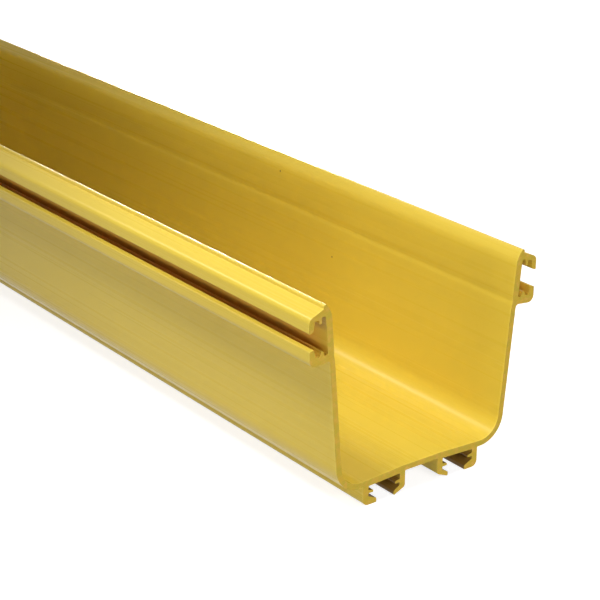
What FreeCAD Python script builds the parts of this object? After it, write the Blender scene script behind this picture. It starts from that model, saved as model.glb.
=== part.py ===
# Straight section of an open fibre raceway: one extruded length of plastic, 1829 mm long.
# Frame: X across the channel, Y along it, Z up. The origin is under the middle of the length,
# on the plane that the rails stand on. Sizes are in millimetres.
#
# The section is symmetric, so the right half is drawn and mirrored:
#   trough       crowned floor, large bottom corner, leaning wall, ledge, web and crest
#   upper_hook   the hook along the top of the web, with a snap rib inside it
#   lower_hook   the hook that faces it from below, with its own rib
#   outer_rail   the two rails of each slot under the floor; the slot takes a bracket's
#   inner_rail   tongue, and each rail has a grip rib
#   slot_roof    the thicker floor over the slot
import FreeCAD, Part
import Sketcher
import os
import re

NODE = "raceway_channel"

# Every size that can be set by itself: name, value, what it measures.
SIZES = [
    ("length", 1829, "length of the section, a six-foot stock length"),
    ("height", 96, "plane of the rails to the ridge of the crest"),
    ("foot_half", 42.1, "centre to the wall's inner face, carried down to the rail plane"),
    ("rake", 0.085, "outward lean of the wall for each mm of height"),
    ("wall_thick", 2.6, "wall, square to its face"),
    ("floor_top", 12.6, "rail plane to the level middle of the floor"),
    ("floor_thick", 2.5, "floor"),
    ("floor_fall", 0.05, "fall of the rest of the floor for each mm outward"),
    ("corner_round", 10.2, "inside radius between floor and wall"),
    ("web_thick", 3.1, "web between the hooks, square to its face"),
    ("ledge_step", 0.2, "how far the web stands outward of the wall"),
    ("ledge_nose", 0.15, "how far the ledge's nose stands outward of the wall"),
    ("ledge_rise", 0.8, "middle of the ledge above the underside of the lower hook"),
    ("ledge_slope", 2.0, "height of the ledge's slope, nose to hollow"),
    ("nose_run", 4.0, "height over which the nose fades into the wall"),
    ("nose_round", 5, "ledge's nose"),
    ("hollow_run", 3.5, "height of the upright strip above the ledge"),
    ("hollow_round", 4, "hollow between the ledge and that strip"),
    ("crest_drop", 3.5, "ridge down to where the web turns over into the crest"),
    ("crest_round", 10, "radius of that turn"),
    ("ridge_width", 1.3, "top of the ridge"),
    ("ridge_over", 0.6, "how far the ridge stands outward of the web"),
    ("ridge_step", 1.6, "drop from the ridge to the upper hook"),
    ("ridge_round", 0.8, "outer edge of the ridge"),
    ("hook_reach", 7.2, "ridge to the outer face of the upper hook"),
    ("hook_fall", 0.44, "fall of the upper hook's back for each mm outward"),
    ("hook_round", 2.8, "outer shoulder of the upper hook"),
    ("pocket_drop", 5.8, "ridge down to the roof of the upper hook's pocket"),
    ("pocket_rise", 1.0, "how much higher the pocket runs beside the web"),
    ("lip_drop", 5.1, "pocket's roof down to the end of the upper lip"),
    ("lip_thick", 2.1, "free end of a hook's lip"),
    ("lip_taper", 0.7, "how much thicker a lip is at its root"),
    ("lip_slant", 0.8, "slant of a lip's free end"),
    ("mouth", 7.6, "clear height between the two lips"),
    ("rib_gap", 1.9, "clear width between the web and a hook's rib"),
    ("upper_rib", 1.3, "width of the upper hook's rib"),
    ("upper_rib_drop", 1.8, "depth of that rib below the pocket's roof"),
    ("lower_inset", 0.4, "how far the lower hook's face stands inside the upper one's"),
    ("lower_depth", 3.2, "lower lip's outer edge down to the floor of its pocket"),
    ("lower_plate", 2.9, "lower hook's plate beside the web"),
    ("plate_fall", 0.11, "fall of that plate's underside for each mm outward"),
    ("lower_round", 3.0, "outer heel of the lower hook"),
    ("under_round", 1.5, "hollow between that hook and the wall"),
    ("lower_rib_root", 2.2, "width of the lower hook's rib at its root"),
    ("lower_rib_tip", 1.0, "width of that rib at its tip"),
    ("lower_rib_rise", 2.2, "height of that rib"),
    ("rail_inset", 10.1, "how far the outer rail stands in from the wall's foot"),
    ("rail_thick", 2.9, "web of a rail"),
    ("slot_width", 17.1, "width inside the slot"),
    ("roof_extra", 0.45, "extra floor thickness over the slot"),
    ("inner_lip", 3.3, "reach of the inner rail's lip"),
    ("outer_lip", 4.4, "reach of the outer rail's lip"),
    ("rail_lip_tip", 2.0, "height of a rail's lip at its tip"),
    ("rail_lip_root", 4.0, "height of a rail's lip at its root"),
    ("inner_heel", 2.6, "rail plane to the inner rail's raised heel"),
    ("heel_round", 1.6, "inner rail's heel"),
    ("rail_round", 2.8, "outer rail's heel"),
    ("grip_height", 6.15, "rail plane to the middle of a rail's grip rib at its root"),
    ("grip_droop", 0.3, "how much lower the rib's tip is"),
    ("grip_reach", 2.6, "reach of the rib into the slot"),
    ("grip_root", 1.6, "height of the rib at its root"),
    ("grip_tip", 1.0, "height of the rib at its tip"),
    ("edge_round", 0.45, "plain edges and hollows"),
    ("fine_round", 0.3, "edges of the ribs and the ridge"),
]

# Sizes that follow from those above.
DERIVED = [
    ("wall_across", "wall_thick * sqrt(1 + rake ^ 2)"),
    ("web_across", "web_thick * sqrt(1 + rake ^ 2)"),
    ("outer_foot", "foot_half + wall_across"),
    ("web_foot", "foot_half + ledge_step"),
    ("back_foot", "web_foot + web_across"),
    ("outer_corner_round", "corner_round + wall_thick"),
    ("floor_under", "floor_top - floor_thick"),
    ("slot_end", "foot_half - rail_inset - rail_thick"),
    ("slot_start", "slot_end - slot_width"),
    ("level_half", "slot_start - rail_thick / 2"),
    ("inside_floor", "floor_under + floor_thick / 3"),
    ("grip_end", "grip_height - grip_droop"),
    ("crest_start", "height - crest_drop"),
    ("ridge_face", "back_foot + rake * height + ridge_over"),
    ("half_width", "ridge_face + hook_reach"),
    ("hook_start", "height - ridge_step"),
    ("upper_pocket", "height - pocket_drop"),
    ("side_pocket", "upper_pocket + pocket_rise"),
    ("upper_rib_near", "back_foot + rake * side_pocket + rib_gap"),
    ("upper_lip", "upper_pocket - lip_drop"),
    ("lower_lip", "upper_lip - mouth"),
    ("lower_half", "half_width - lower_inset"),
    ("lower_pocket", "lower_lip - lower_depth"),
    ("lower_rib_near", "back_foot + rake * lower_pocket + rib_gap"),
    ("rib_taper", "(lower_rib_root - lower_rib_tip) / 2"),
    ("plate_under", "lower_pocket - lower_plate"),
    ("plate_foot", "outer_foot + rake * plate_under"),
    ("nose_height", "plate_under + ledge_rise - ledge_slope / 2"),
    ("hollow_height", "nose_height + ledge_slope"),
    ("strip_top", "hollow_height + hollow_run"),
    ("strip_face", "web_foot + rake * strip_top"),
]


def fill_sheet(doc):
    """Put every size in the sheet, under an alias of its own."""
    sheet = doc.addObject("Spreadsheet::Sheet", "Sizes")
    rows = [(name, str(value), meaning) for name, value, meaning in SIZES]
    rows += [(name, "=" + formula, "worked out") for name, formula in DERIVED]
    for row, (name, content, meaning) in enumerate(rows, start=1):
        sheet.set(f"A{row}", name)
        sheet.set(f"B{row}", content)
        sheet.setAlias(f"B{row}", name)
        sheet.set(f"C{row}", meaning)
    doc.recompute()
    return sheet


def at_height(foot, height):
    """Formula of the place across of a raked face at a height."""
    return f"{foot} + rake * ({height})"


def floor_line(level, across):
    """Formula of the height of the falling part of the floor."""
    return f"{level} - floor_fall * ({across} - level_half)"


def floor_meets_wall(level, foot):
    """Formulas of the corner where the falling floor line meets a raked wall line."""
    across = f"({foot} + rake * ({level} + floor_fall * level_half)) / (1 + rake * floor_fall)"
    return across, floor_line(level, across)


# Each corner of an outline is (across, height, name of its rounding or None).
def trough_outline():
    inner_corner = floor_meets_wall("floor_top", "foot_half")
    outer_corner = floor_meets_wall("floor_under", "outer_foot")
    return [
        ("0", "floor_top", None),
        ("level_half", "floor_top", None),
        (*inner_corner, "corner_round"),
        (at_height("foot_half", "nose_height - nose_run"), "nose_height - nose_run", None),
        (at_height("foot_half + ledge_nose", "nose_height"), "nose_height", "nose_round"),
        ("strip_face", "hollow_height", "hollow_round"),
        ("strip_face", "strip_top", None),
        (at_height("web_foot", "crest_start"), "crest_start", "crest_round"),
        ("ridge_face - ridge_width", "height", "fine_round"),
        ("ridge_face", "height", "ridge_round"),
        ("ridge_face", "hook_start", "fine_round"),
        (at_height("back_foot", "side_pocket"), "side_pocket", "edge_round"),
        (at_height("back_foot", "lower_pocket"), "lower_pocket", "edge_round"),
        ("plate_foot", "plate_under", "under_round"),
        (*outer_corner, "outer_corner_round"),
        ("level_half", "floor_under", None),
        ("0", "floor_under", None),
    ]


def upper_hook_outline():
    back_end = "hook_start - hook_fall * (half_width - ridge_face)"
    rib_far = "upper_rib_near + upper_rib"
    rib_end = "upper_pocket - upper_rib_drop"
    return [
        ("ridge_face", "hook_start", None),
        ("half_width", back_end, "hook_round"),
        ("half_width", "upper_lip", "edge_round"),
        ("half_width - lip_thick", "upper_lip + lip_slant", "edge_round"),
        ("half_width - lip_thick - lip_taper", "upper_pocket", "edge_round"),
        (rib_far, "upper_pocket", "fine_round"),
        (rib_far, rib_end, "fine_round"),
        ("upper_rib_near", rib_end, "fine_round"),
        ("upper_rib_near", "side_pocket", "edge_round"),
        (at_height("back_foot - web_thick / 2", "side_pocket"), "side_pocket", None),
    ]


def lower_hook_outline():
    rib_far = "lower_rib_near + lower_rib_root"
    rib_end = "lower_pocket + lower_rib_rise"
    heel = "plate_under - plate_fall * (lower_half - plate_foot)"
    return [
        (at_height("back_foot - web_thick / 2", "lower_pocket"), "lower_pocket", None),
        ("lower_rib_near", "lower_pocket", "fine_round"),
        ("lower_rib_near + rib_taper", rib_end, "fine_round"),
        (f"{rib_far} - rib_taper", rib_end, "fine_round"),
        (rib_far, "lower_pocket", "fine_round"),
        ("lower_half - lip_thick - lip_taper", "lower_pocket", "edge_round"),
        ("lower_half - lip_thick", "lower_lip + lip_slant", "edge_round"),
        ("lower_half", "lower_lip", "edge_round"),
        ("lower_half", heel, "lower_round"),
        ("plate_foot", "plate_under", None),
        (at_height("outer_foot - wall_thick / 2", "plate_under"), "plate_under", None),
    ]


def rail_outline(face, inward, lip_reach, heel, heel_rounding):
    """A rail whose slot side is at face; inward is + where the slot lies outward of it, else -."""
    outward = "-" if inward == "+" else "+"
    back = f"{face} {outward} rail_thick"
    grip = f"{face} {inward} grip_reach"
    tip = f"{face} {inward} {lip_reach}"
    return [
        (back, "inside_floor", None),
        (face, "inside_floor", None),
        (face, "grip_height + grip_root / 2", "fine_round"),
        (grip, "grip_end + grip_tip / 2", "fine_round"),
        (grip, "grip_end - grip_tip / 2", "fine_round"),
        (face, "grip_height - grip_root / 2", "fine_round"),
        (face, "rail_lip_root", "edge_round"),
        (tip, "rail_lip_tip", "edge_round"),
        (tip, "0", "edge_round"),
        (back, heel, heel_rounding),
    ]


def slot_roof_outline():
    near = "slot_start - rail_thick / 2"
    far = "slot_end + rail_thick / 2"
    return [
        (near, "inside_floor", None),
        (far, "inside_floor - floor_fall * slot_width", None),
        (far, f"{floor_line('floor_under', far)} - roof_extra", None),
        (near, f"{floor_line('floor_under', near)} - roof_extra", None),
    ]


# Hollows where two of those shapes cross, so that no outline has a corner there.
def crossing_corners():
    roof_near = f"{floor_line('floor_under', 'slot_start')} - roof_extra"
    roof_far = f"{floor_line('floor_under', 'slot_end')} - roof_extra"
    rail_side = "slot_end + rail_thick"
    return [
        ("slot_start", roof_near, "edge_round"),
        ("slot_end", roof_far, "edge_round"),
        ("slot_start - rail_thick", "floor_under", "edge_round"),
        (rail_side, floor_line("floor_under", rail_side), "edge_round"),
    ]


def bound(formula):
    """The same formula, with each name looked up in the sheet."""
    return re.sub(r"[a-z][a-z_]*", lambda name: "Sizes." + name.group(), formula)


def origin_plane(body, role):
    return next(plane for plane in body.Origin.OriginFeatures if plane.Role == role)


def pin_corner(sketch, sheet, line, corner):
    """Hold a line's start at the corner's place across and up, as the sheet gives them."""
    across, height, rounding = corner
    for kind, formula, axis in (("DistanceX", across, -2), ("DistanceY", height, -1)):
        if formula == "0":
            sketch.addConstraint(Sketcher.Constraint("PointOnObject", line, 1, axis))
            continue
        size = sheet.evalExpression(formula)
        index = sketch.addConstraint(Sketcher.Constraint(kind, -1, 1, line, 1, size))
        sketch.setExpression(f"Constraints[{index}]", bound(formula))


def place_of(sheet, corner):
    across, height, rounding = corner
    return FreeCAD.Vector(sheet.evalExpression(across), sheet.evalExpression(height), 0)


def extrude_outline(body, sheet, name, corners):
    """Draw a closed outline square to the length and extrude it both ways."""
    sketch = body.newObject("Sketcher::SketchObject", name + "_section")
    sketch.AttachmentSupport = [(origin_plane(body, "XZ_Plane"), "")]
    sketch.MapMode = "FlatFace"
    places = [place_of(sheet, corner) for corner in corners]
    for start, end in zip(places, places[1:] + places[:1]):
        sketch.addGeometry(Part.LineSegment(start, end))
    count = len(corners)
    for line in range(count):
        following = (line + 1) % count
        sketch.addConstraint(Sketcher.Constraint("Coincident", line, 2, following, 1))
    for line, corner in enumerate(corners):
        pin_corner(sketch, sheet, line, corner)
    pad = body.newObject("PartDesign::Pad", name)
    pad.Profile = sketch
    pad.SideType = "Symmetric"
    pad.setExpression("Length", bound("length"))
    pad.Refine = True
    sketch.Visibility = False
    body.Document.recompute()


def long_edges_at(shape, places):
    """Names of the edges that run the whole length through the given places."""
    names = []
    for number, edge in enumerate(shape.Edges, start=1):
        ends = [vertex.Point for vertex in edge.Vertexes]
        for place in places:
            target = (place.x, place.y)
            if all(abs(end.x - target[0]) < 0.01 and abs(end.z - target[1]) < 0.01 for end in ends):
                names.append(f"Edge{number}")
    return names


def round_corners(body, sheet, corners):
    """One fillet feature for each rounding, over all the corners that take it."""
    for rounding in dict.fromkeys(corner[2] for corner in corners if corner[2]):
        places = [place_of(sheet, corner) for corner in corners if corner[2] == rounding]
        names = long_edges_at(body.Tip.Shape, places)
        if len(names) != len(places):
            raise RuntimeError(f"{rounding}: {len(names)} edges found for {len(places)} corners")
        previous = body.Tip
        fillet = body.newObject("PartDesign::Fillet", rounding + "_fillet")
        fillet.Base = (previous, names)
        fillet.setExpression("Radius", bound(rounding))
        body.Document.recompute()


def mirror_half(body):
    mirror = body.newObject("PartDesign::Mirrored", "left_half")
    mirror.TransformMode = "Whole shape"
    mirror.MirrorPlane = (origin_plane(body, "YZ_Plane"), [""])
    mirror.Refine = True
    body.Tip = mirror
    body.Document.recompute()


def build_channel(doc, sheet):
    outlines = {
        "trough": trough_outline(),
        "upper_hook": upper_hook_outline(),
        "lower_hook": lower_hook_outline(),
        "outer_rail": rail_outline("slot_end", "-", "outer_lip", "0", "rail_round"),
        "inner_rail": rail_outline("slot_start", "+", "inner_lip", "inner_heel", "heel_round"),
        "slot_roof": slot_roof_outline(),
    }
    body = doc.addObject("PartDesign::Body", NODE)
    body.Label = NODE
    for name, corners in outlines.items():
        extrude_outline(body, sheet, name, corners)
    corners = [corner for outline in outlines.values() for corner in outline]
    round_corners(body, sheet, corners + crossing_corners())
    mirror_half(body)
    return body


def check(doc, body):
    """Stop unless every object is sound and the channel is one valid solid."""
    failed = [item.Name for item in doc.Objects if {"Invalid", "Error"} & set(item.State)]
    if failed:
        raise RuntimeError("failed objects: " + ", ".join(failed))
    shape = body.Shape
    if shape.isNull() or not shape.isValid() or len(shape.Solids) != 1:
        raise RuntimeError("the channel is not one valid solid")


def main():
    doc = FreeCAD.newDocument("fibre_raceway_straight")
    sheet = fill_sheet(doc)
    body = build_channel(doc, sheet)
    check(doc, body)
    os.makedirs("parts", exist_ok=True)
    body.Shape.exportStep(f"parts/{NODE}.step")
    box = body.Shape.BoundBox
    print(f"{NODE}: {box.XLength:.2f} x {box.YLength:.2f} x {box.ZLength:.2f} mm,",
          f"volume {body.Shape.Volume / 1000:.1f} cm3, {len(body.Shape.Faces)} faces")


main()
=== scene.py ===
"""Dress a straight section of fibre raceway: yellow extruded plastic with sawn ends.

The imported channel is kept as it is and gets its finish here. The camera stands where the
photograph was taken from, off the near end, to the left and above. Metres, Z up.
"""
import math

import bmesh
import bpy
from mathutils import Euler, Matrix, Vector


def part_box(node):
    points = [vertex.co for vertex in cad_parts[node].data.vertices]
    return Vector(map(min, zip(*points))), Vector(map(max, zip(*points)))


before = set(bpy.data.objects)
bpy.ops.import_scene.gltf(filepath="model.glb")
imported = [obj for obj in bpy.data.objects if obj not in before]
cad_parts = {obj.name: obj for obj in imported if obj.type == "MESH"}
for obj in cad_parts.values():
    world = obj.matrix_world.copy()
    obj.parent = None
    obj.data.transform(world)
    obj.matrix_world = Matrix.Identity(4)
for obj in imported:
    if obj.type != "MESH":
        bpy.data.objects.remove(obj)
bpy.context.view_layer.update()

CHANNEL = "raceway_channel"
LOW, HIGH = (Vector(corner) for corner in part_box(CHANNEL))
LENGTH = HIGH.y - LOW.y
NEAR_END = Vector((0, LOW.y, LOW.z))  # foot of the near end's middle


# Camera

CAMERA_PLACE = Vector((-0.45637, -0.50887, 0.35865))  # from the foot of the near end's middle
CAMERA_TURN = -37.489  # degrees about Z
CAMERA_DOWN = 21.879  # degrees below level
CAMERA_ROLL = 0.523
CAMERA_REACH = 50  # past which it sees nothing
SENSOR = 36.0
FOCAL = 107.446


def add_camera():
    """A long lens, as the photograph's weak perspective asks for."""
    lens = bpy.data.cameras.new("camera")
    lens.sensor_width = SENSOR
    lens.lens = FOCAL
    lens.clip_end = CAMERA_REACH
    camera = bpy.data.objects.new("camera", lens)
    bpy.context.scene.collection.objects.link(camera)
    camera.location = NEAR_END + CAMERA_PLACE
    turn = Euler((0, 0, math.radians(CAMERA_TURN))).to_matrix()
    tilt = Euler((math.radians(90 - CAMERA_DOWN), 0, 0)).to_matrix()
    roll = Euler((0, 0, math.radians(CAMERA_ROLL))).to_matrix()
    camera.rotation_euler = (turn @ tilt @ roll).to_euler()
    bpy.context.scene.camera = camera


# Lamps

FAR_START = 0.62  # from here the lamps for the rest of the length take over
FAR_MIDDLE = (FAR_START + LENGTH) / 2
FAR_SPAN = LENGTH - FAR_START

# Name, place and aim from the foot of the near end's middle, width and height, watts, and the
# spread of the beam in degrees. The first eight light the near end, as in the photograph.
LAMPS = (
    ("over", (0, 0.02, 0.6), (0, 0.02, 0), (0.15, 0.15), 0.09, 60),
    ("over_left", (-0.3, 0.05, 0.6), (-0.05, 0.1, 0.05), (0.15, 0.15), 0.235, 67),
    ("front", (0, -0.5, 0.3), (0, 0, 0.05), (0.25, 0.25), 0.328, 80),
    ("low_front", (-0.4, -0.6, 0.12), (0, 0, 0.05), (0.3, 0.2), 0.15, 50),
    ("low_left", (-1.3, 0.1, 0.15), (0, 0.1, 0.06), (0.7, 0.2), 0.5, 60),
    ("back_left", (-0.37, 0.96, 0.88), (-0.05, 0.02, 0.09), (0.25, 0.25), 0.065, 22),
    ("rim", (0.85, 1.32, 0.19), (-0.05, 0.12, 0.096), (0.35, 0.08), 0.9, 28),
    ("low_right", (1.3, 0.25, 0.15), (0, 0.3, 0.06), (0.7, 0.2), 0.12, 60),
    ("middle_over", (0, 0.69, 0.25), (0, 0.69, 0), (0.12, 0.2), 0.025, 40),
    ("middle_left", (-0.5, 0.63, 0.08), (0, 0.63, 0.02), (0.3, 0.06), 0.06, 40),
    ("middle_right", (0.5, 0.55, 0.1), (0, 0.55, 0.03), (0.35, 0.08), 0.06, 40),
    ("far_over", (0, FAR_MIDDLE, 0.5), (0, FAR_MIDDLE, 0), (0.3, FAR_SPAN), 0.75, 40),
    ("far_left", (-0.5, FAR_MIDDLE, 0.3), (0, FAR_MIDDLE, 0.05), (FAR_SPAN, 0.3), 0.75, 40),
    ("far_right", (0.5, FAR_MIDDLE, 0.3), (0, FAR_MIDDLE, 0.05), (FAR_SPAN, 0.3), 0.75, 40),
    ("back", (0, LENGTH + 0.5, 0.4), (0, LENGTH, 0.03), (0.25, 0.25), 0.25, 60),
)


def add_soft_box(name, place, aim, size, power, spread):
    """A rectangular lamp with a grid that narrows its beam."""
    lamp = bpy.data.lights.new(name, "AREA")
    lamp.shape = "RECTANGLE"
    lamp.size, lamp.size_y = size
    lamp.energy = power
    lamp.spread = math.radians(spread)
    box = bpy.data.objects.new(name, lamp)
    bpy.context.scene.collection.objects.link(box)
    box.visible_camera = False
    box.location = NEAR_END + Vector(place)
    box.rotation_euler = (Vector(aim) - Vector(place)).to_track_quat("-Z", "Y").to_euler()


# Nodes

# Where the Mix node keeps its pair of numbers and its pair of colours, and the mix of each
NUMBER_A, NUMBER_B, MIXED_NUMBER = 2, 3, 0
COLOUR_A, COLOUR_B, MIXED_COLOUR = 6, 7, 2


class Nodes:
    """Adds and joins the nodes of one material or world."""

    def __init__(self, tree):
        self.tree = tree
        tree.nodes.clear()

    def add(self, kind, inputs=None, **settings):
        """A node of a kind; inputs maps socket names or numbers to values or sockets."""
        node = self.tree.nodes.new(kind)
        for name, value in settings.items():
            setattr(node, name, value)
        for key, value in (inputs or {}).items():
            if isinstance(value, bpy.types.NodeSocket):
                self.tree.links.new(value, node.inputs[key])
            else:
                node.inputs[key].default_value = value
        return node

    def place(self):
        """Place on the object, in metres."""
        return self.add("ShaderNodeTexCoord").outputs["Object"]

    def parts(self, vector):
        """The X, Y and Z of a place or colour."""
        return self.add("ShaderNodeSeparateXYZ", {0: vector}).outputs

    def math(self, operation, first, second=0.0):
        """Result of one Math node."""
        return self.add("ShaderNodeMath", {0: first, 1: second}, operation=operation).outputs[0]

    def noise(self, place, scale, detail=2.0):
        """Cloudy value around one half."""
        inputs = {"Vector": place, "Scale": scale, "Detail": detail}
        return self.add("ShaderNodeTexNoise", inputs).outputs["Fac"]

    def stretched(self, place, scale):
        """Place scaled per axis; a low Y scale draws a pattern out along the length."""
        inputs = {"Vector": place, "Scale": scale}
        return self.add("ShaderNodeMapping", inputs).outputs["Vector"]

    def ramp(self, value, low, high, start=0.0, end=1.0):
        """Value carried from the range low..high to start..end, and held there."""
        inputs = {"Value": value, "From Min": low, "From Max": high, "To Min": start, "To Max": end}
        return self.add("ShaderNodeMapRange", inputs).outputs["Result"]

    def between(self, share, first, second):
        """Mix of two numbers."""
        inputs = {"Factor": share, NUMBER_A: first, NUMBER_B: second}
        return self.add("ShaderNodeMix", inputs).outputs[MIXED_NUMBER]

    def blend(self, share, first, second):
        """Mix of two colours."""
        inputs = {"Factor": share, COLOUR_A: first, COLOUR_B: second}
        return self.add("ShaderNodeMix", inputs, data_type="RGBA").outputs[MIXED_COLOUR]

    def bump(self, height, distance, strength=1.0, below=None):
        """Relief of a height in metres, laid over another relief if one is given."""
        inputs = {"Height": height, "Distance": distance, "Strength": strength}
        if below is not None:
            inputs["Normal"] = below
        return self.add("ShaderNodeBump", inputs).outputs["Normal"]

    def seen_directly(self):
        """1 for camera, glossy and transmission rays, 0 for the light that falls on surfaces."""
        path = self.add("ShaderNodeLightPath").outputs
        seen = self.math("MAXIMUM", path["Is Camera Ray"], path["Is Glossy Ray"])
        return self.math("MAXIMUM", seen, path["Is Transmission Ray"])


# Surroundings

WHITE = (1, 1, 1, 1)
FILL = 0.1  # light of the white room
FLOOR_REACH = 40.0  # from its middle to each side
FLOOR_SEEN = 0.5  # paleness where the floor is seen
FLOOR_BOUNCE = 0.3  # paleness for the light it throws back
FLOOR_LIFT = (0.8, 1.0)  # share of white it shows by itself, beside the channel and far off; the lower share beside it is painted shade
PAINTED_SHADE_REACH = 0.25  # distance over which the first becomes the second


def add_world():
    """White where it is seen, a dim fill where it lights."""
    world = bpy.data.worlds.new("studio")
    bpy.context.scene.world = world
    world.use_nodes = True
    nodes = Nodes(world.node_tree)
    fill = nodes.add("ShaderNodeBackground", {"Color": WHITE, "Strength": FILL}).outputs[0]
    white = nodes.add("ShaderNodeBackground", {"Color": WHITE, "Strength": 1.0}).outputs[0]
    both = nodes.add("ShaderNodeMixShader", {0: nodes.seen_directly(), 1: fill, 2: white})
    nodes.add("ShaderNodeOutputWorld", {"Surface": both.outputs[0]})


def distance_off(nodes):
    """Distance of a place on the floor from the channel's outline."""
    where = nodes.parts(nodes.place())
    beside = nodes.math("SUBTRACT", nodes.math("ABSOLUTE", where["X"]), HIGH.x)
    beyond = nodes.math("SUBTRACT", nodes.math("ABSOLUTE", where["Y"]), HIGH.y)
    return nodes.math("MAXIMUM", beside, beyond)


def floor_white():
    """A dull paint that shows white by itself, with painted shade: it glows a little less beside
    the channel.
    """
    paint = bpy.data.materials.new("floor_white")
    paint.use_nodes = True
    nodes = Nodes(paint.node_tree)
    seen = nodes.seen_directly()
    shade = nodes.between(seen, FLOOR_BOUNCE, FLOOR_SEEN)
    matt = nodes.add("ShaderNodeBsdfDiffuse", {"Color": shade}).outputs[0]
    # painted shade: less glow near the channel, so the floor shows greyer there
    white = nodes.ramp(distance_off(nodes), 0, PAINTED_SHADE_REACH, *FLOOR_LIFT)
    strength = nodes.math("MULTIPLY", seen, white)
    lift = nodes.add("ShaderNodeEmission", {"Strength": strength}).outputs[0]
    both = nodes.add("ShaderNodeAddShader", {0: matt, 1: lift})
    nodes.add("ShaderNodeOutputMaterial", {"Surface": both.outputs[0]})
    return paint


def add_floor():
    """A pale floor that shows white and keeps the channel's shadow."""
    mesh = bpy.data.meshes.new("floor")
    shape = bmesh.new()
    bmesh.ops.create_grid(shape, x_segments=1, y_segments=1, size=FLOOR_REACH)
    bmesh.ops.translate(shape, verts=shape.verts, vec=(0, 0, LOW.z))
    shape.to_mesh(mesh)
    shape.free()
    mesh.materials.append(floor_white())
    floor = bpy.data.objects.new("floor", mesh)
    bpy.context.scene.collection.objects.link(floor)


# Skin of the plastic

PLASTIC = (0.803, 0.592, 0.066, 1)
PLASTIC_SHADE = (0.765, 0.553, 0.059, 1)
PLASTIC_BLOOM = (0.83, 0.625, 0.080, 1)
GLOSS = (0.26, 0.3)  # least and greatest roughness
SHINE = 0.2  # how much the surface mirrors

# A scale is about a pattern's number of patches in a metre. A range says at which value of the
# pattern it starts to show, and at which it shows in full.
CLOUD_SCALE = 14  # slow change of colour
CLOUD_DETAIL = 3
CLOUD_STRETCH = (1, 0.4, 1)
CLOUD_RANGE = (0.35, 0.65)
LINE_SCALE = 420  # fine lines that the die leaves along the length
LINE_STRETCH = (1, 0.004, 1)
LINE_RANGE = (0.5, 0.75)
LINE_SHARE = 0.06  # how far they turn the colour
LINE_GLOSS_RANGE = (0.3, 0.7)
LINE_HEIGHT = 0.00002
LINE_STRENGTH = 0.12
GRAIN_SCALE = 700
GRAIN_RANGE = (0.55, 0.8)
GRAIN_SHARE = 0.5
GRAIN_HEIGHT = 0.00002
GRAIN_STRENGTH = 0.5
WAVE_SCALE = 26  # slow unevenness of the surface
WAVE_DETAIL = 1
WAVE_STRETCH = (1, 0.35, 1)
WAVE_HEIGHT = 0.0003

SPECK = (0.22, 0.13, 0.02, 1)
SPECK_SCALE = 38  # cells in a metre, with one speck or none in each
SPECK_RADIUS = 0.02  # in cells
SPECK_NONE = 0.6  # share of the cells that have none


def skin_colour(nodes, place, lines, grain):
    """Yellow that changes slowly, with paler lines and darker grain."""
    cloud = nodes.noise(nodes.stretched(place, CLOUD_STRETCH), CLOUD_SCALE, CLOUD_DETAIL)
    colour = nodes.blend(nodes.ramp(cloud, *CLOUD_RANGE), PLASTIC_SHADE, PLASTIC)
    colour = nodes.blend(nodes.ramp(lines, *LINE_RANGE, 0, LINE_SHARE), colour, PLASTIC_BLOOM)
    return nodes.blend(nodes.ramp(grain, *GRAIN_RANGE, 0, GRAIN_SHARE), colour, PLASTIC_SHADE)


def add_specks(nodes, place, colour):
    """A few dark specks in the plastic."""
    cell = nodes.add("ShaderNodeTexVoronoi", {"Vector": place, "Scale": SPECK_SCALE}).outputs
    lot = nodes.parts(cell["Color"])["X"]
    near = nodes.math("LESS_THAN", cell["Distance"], SPECK_RADIUS)
    drawn = nodes.math("GREATER_THAN", lot, SPECK_NONE)
    return nodes.blend(nodes.math("MULTIPLY", near, drawn), colour, SPECK)


def skin_relief(nodes, place, lines, grain):
    """Slow waves, and on them the die's lines and the grain."""
    wave = nodes.noise(nodes.stretched(place, WAVE_STRETCH), WAVE_SCALE, WAVE_DETAIL)
    relief = nodes.bump(wave, WAVE_HEIGHT)
    relief = nodes.bump(lines, LINE_HEIGHT, LINE_STRENGTH, relief)
    return nodes.bump(grain, GRAIN_HEIGHT, GRAIN_STRENGTH, relief)


# Narrow gaps, with painted shade: a brown colour stands for the shade in them

# Painted shade: brown colours stand for the shade in the hook channels and, darker, in the slots
CHANNEL_PAINTED_SHADE = (0.70, 0.39, 0.06, 1)
SLOT_PAINTED_SHADE = (0.28, 0.15, 0.025, 1)
HOOK_CHANNEL = ((0.0508, 0.0588), (0.0730, 0.0916))  # distances from the centre, and heights, where shade is painted in the hook channels
SLOT = ((0.0119, 0.0292), (0.0001, 0.0098))
GAP_BLUR = 0.0003  # half of the width over which the painted shade starts
END_LIGHT = 0.012  # how far in from the ends the painted shade in the hook channels is lighter
END_SHARE = 0.3  # share of their painted shade at the very end


def painted_shade_mask(nodes, place, space):
    """1 on both sides' surfaces that lie in a space of the section, 0 elsewhere; it marks where
    shade is painted.
    """
    where = nodes.parts(place)
    across = nodes.math("ABSOLUTE", where["X"])
    share = 1.0
    for value, (low, high) in zip((across, where["Z"]), space):
        above = nodes.ramp(value, low - GAP_BLUR, low + GAP_BLUR)
        below = nodes.ramp(value, high - GAP_BLUR, high + GAP_BLUR, 1, 0)
        share = nodes.math("MULTIPLY", share, nodes.math("MULTIPLY", above, below))
    return share


def paint_shade_in_gaps(nodes, place, along, colour):
    """Painted shade: brown in the hook channels, lighter toward the ends, and darker brown in the
    slots.
    """
    fade = nodes.ramp(along, LENGTH / 2 - END_LIGHT, LENGTH / 2, 1, END_SHARE)
    channel_shade = nodes.math("MULTIPLY", fade, painted_shade_mask(nodes, place, HOOK_CHANNEL))
    colour = nodes.blend(channel_shade, colour, CHANNEL_PAINTED_SHADE)
    return nodes.blend(painted_shade_mask(nodes, place, SLOT), colour, SLOT_PAINTED_SHADE)


# Sawn ends

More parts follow.
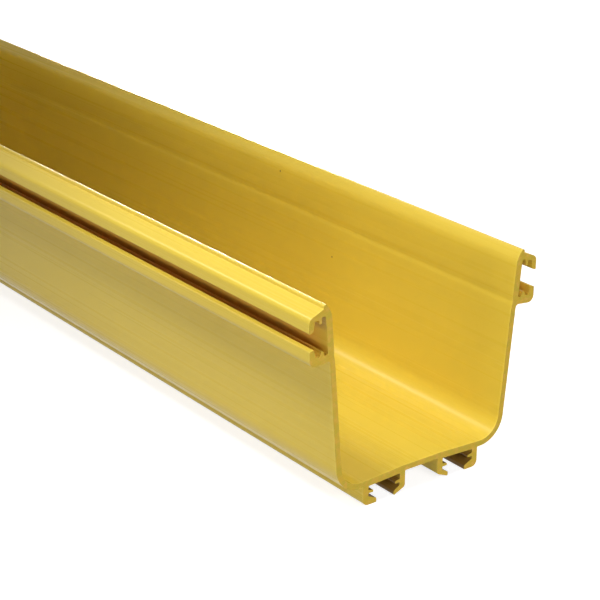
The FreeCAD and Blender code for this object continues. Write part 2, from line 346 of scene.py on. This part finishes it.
SAWN = (0.61, 0.40, 0.037, 1)
SAWN_OLIVE = (0.52, 0.395, 0.036, 1)
SAWN_TAN = (0.70, 0.42, 0.080, 1)
SAWN_ROUGHNESS = 0.7
SAWN_DEPTH = 0.00005  # how far in from the ends the sawn look goes
OLIVE_SCALE = 260
OLIVE_RANGE = (0.4, 0.65)
TAN_SCALE = 420
TAN_RANGE = (0.5, 0.7)
TAN_SHARE = 0.8

TOOTH_LEAN = 24  # degrees from level
TOOTH_SCALE = 260  # gives bands about 1.2 mm apart
TOOTH_WANDER = 2.2
TOOTH_DETAIL = 2
TOOTH_DETAIL_SCALE = 0.6
TOOTH_SHARE = 0.2  # how far the saw's marks turn the colour
TOOTH_HEIGHT = 0.00005

CUT_EDGE = (0.86, 0.66, 0.10, 1)
EDGE_DEPTH = 0.0009  # how far the saw leaves a paler rim
EDGE_FULL = 0.0001  # how far from the end it shows in full
EDGE_SHARE = 0.6
EDGE_RAG_SCALE = 900
EDGE_RAG = 0.0006  # greatest unevenness of its inner border


def saw_marks(nodes, place):
    """Slanting bands that the saw's teeth leave across an end."""
    turn = (0, math.radians(TOOTH_LEAN), 0)
    turned = nodes.add("ShaderNodeMapping", {"Vector": place, "Rotation": turn}).outputs[0]
    inputs = {"Vector": turned, "Scale": TOOTH_SCALE, "Distortion": TOOTH_WANDER,
              "Detail": TOOTH_DETAIL, "Detail Scale": TOOTH_DETAIL_SCALE}
    return nodes.add("ShaderNodeTexWave", inputs, bands_direction="Z").outputs["Fac"]


def sawn_colour(nodes, place, teeth):
    """Mottled olive and tan under faint saw marks."""
    olive = nodes.ramp(nodes.noise(place, OLIVE_SCALE), *OLIVE_RANGE)
    tan = nodes.ramp(nodes.noise(place, TAN_SCALE), *TAN_RANGE, 0, TAN_SHARE)
    colour = nodes.blend(olive, SAWN, SAWN_OLIVE)
    colour = nodes.blend(tan, colour, SAWN_TAN)
    return nodes.blend(nodes.math("MULTIPLY", teeth, TOOTH_SHARE), colour, SAWN_TAN)


def pale_rim(nodes, place, along, colour):
    """Ragged paler rim of the skin beside each cut."""
    rag = nodes.math("MULTIPLY", nodes.noise(place, EDGE_RAG_SCALE), EDGE_RAG)
    ragged = nodes.math("ADD", along, rag)
    edge = nodes.ramp(ragged, LENGTH / 2 - EDGE_DEPTH, LENGTH / 2 - EDGE_FULL)
    return nodes.blend(nodes.math("MULTIPLY", edge, EDGE_SHARE), colour, CUT_EDGE)


# The whole finish

def yellow_plastic():
    """Semi-gloss yellow PVC with faint lines from the die, dull sawn ends, and painted shade in the
    narrow gaps.
    """
    paint = bpy.data.materials.new("yellow_plastic")
    paint.use_nodes = True
    nodes = Nodes(paint.node_tree)
    place = nodes.place()
    along = nodes.math("ABSOLUTE", nodes.parts(place)["Y"])  # from the middle of the length
    cut = nodes.math("GREATER_THAN", along, LENGTH / 2 - SAWN_DEPTH)
    lines = nodes.noise(nodes.stretched(place, LINE_STRETCH), LINE_SCALE)
    grain = nodes.noise(place, GRAIN_SCALE)
    teeth = saw_marks(nodes, place)

    skin = skin_colour(nodes, place, lines, grain)
    skin = add_specks(nodes, place, skin)
    skin = pale_rim(nodes, place, along, skin)
    # painted shade in the hook channels and the slots
    skin = paint_shade_in_gaps(nodes, place, along, skin)
    gloss = nodes.ramp(lines, *LINE_GLOSS_RANGE, *GLOSS)
    relief = skin_relief(nodes, place, lines, grain)

    shader = nodes.add("ShaderNodeBsdfPrincipled", {
        "Base Color": nodes.blend(cut, skin, sawn_colour(nodes, place, teeth)),
        "Roughness": nodes.between(cut, gloss, SAWN_ROUGHNESS),
        "Normal": nodes.bump(teeth, TOOTH_HEIGHT, cut, relief),
        "Specular IOR Level": SHINE})
    nodes.add("ShaderNodeOutputMaterial", {"Surface": shader.outputs[0]})
    return paint


def dress_channel():
    """Give the channel's one material slot its finish."""
    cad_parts[CHANNEL].material_slots[0].material = yellow_plastic()


def set_colours():
    """Show colours about as they are written."""
    bpy.context.scene.view_settings.view_transform = "Standard"


add_camera()
set_colours()
add_world()
add_floor()
for lamp in LAMPS:
    add_soft_box(*lamp)
dress_channel()
